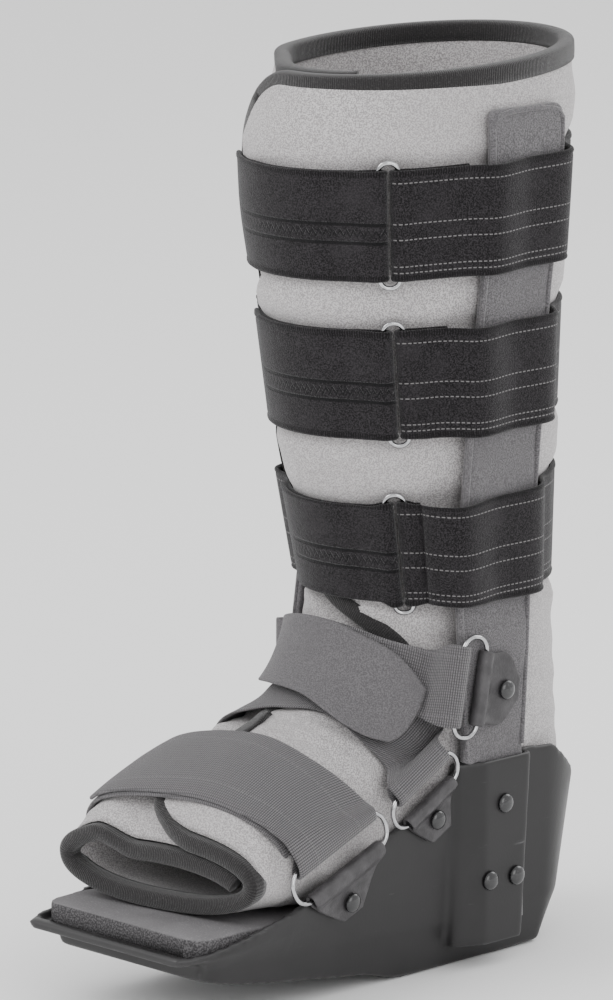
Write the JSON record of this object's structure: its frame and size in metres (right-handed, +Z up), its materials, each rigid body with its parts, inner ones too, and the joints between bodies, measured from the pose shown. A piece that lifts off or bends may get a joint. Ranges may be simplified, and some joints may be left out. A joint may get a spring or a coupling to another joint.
{
  "type": "walking boot",
  "caption": "Tall walking boot: padded wrap liner in a rocker sole, held by two side uprights, with ring-and-loop straps over the calf, the ankle and the toes.",
  "frame": {"origin": "on the floor under the sole, midway between the two uprights", "axes": "+Z up along the leg, -Y towards the toes, +X towards the side with the strap rings"},
  "size_m": [0.1576, 0.2905, 0.4402],
  "materials": {
    "shell_plastic": "semi-gloss with fine scuffs",
    "footbed_foam": "closed-cell foam",
    "liner_cloth": "brushed loop cloth over foam",
    "binding_knit": "knit edge binding",
    "upright_cloth": "padded cloth cover",
    "strap_velour": "velour with hook and loop closure",
    "strap_webbing": "woven webbing",
    "bracket_vinyl": "folded vinyl sheet",
    "ring_chrome": "polished wire",
    "rivet_black": "glossy domed head"
  },
  "bodies": {
    "root": {"boot_shell": "shell_plastic", "footbed_pad": "footbed_foam", "liner": "liner_cloth", "liner_binding": "binding_knit", "upright_near": "upright_cloth", "upright_far": "upright_cloth", "calf_strap_top": "strap_velour", "calf_strap_mid": "strap_velour", "calf_strap_low": "strap_velour", "ankle_strap_over": "strap_velour", "toe_strap": "strap_webbing", "ankle_strap_lower": "strap_webbing", "ankle_strap_upper": "strap_webbing", "toe_bracket": "bracket_vinyl", "low_bracket": "bracket_vinyl", "high_bracket": "bracket_vinyl", "calf_ring_top": "ring_chrome", "calf_ring_mid": "ring_chrome", "calf_ring_low": "ring_chrome", "toe_ring": "ring_chrome", "low_ring": "ring_chrome", "high_ring": "ring_chrome", "toe_bracket_rivet": "rivet_black", "low_bracket_rivet": "rivet_black", "high_bracket_rivet": "rivet_black", "toe_strap_rivet": "rivet_black", "low_strap_rivet": "rivet_black", "high_strap_rivet": "rivet_black", "channel_rivet_near_1": "rivet_black", "channel_rivet_near_2": "rivet_black", "channel_rivet_near_3": "rivet_black", "channel_rivet_far_1": "rivet_black", "channel_rivet_far_2": "rivet_black", "channel_rivet_far_3": "rivet_black"}
  },
  "joints": []
}
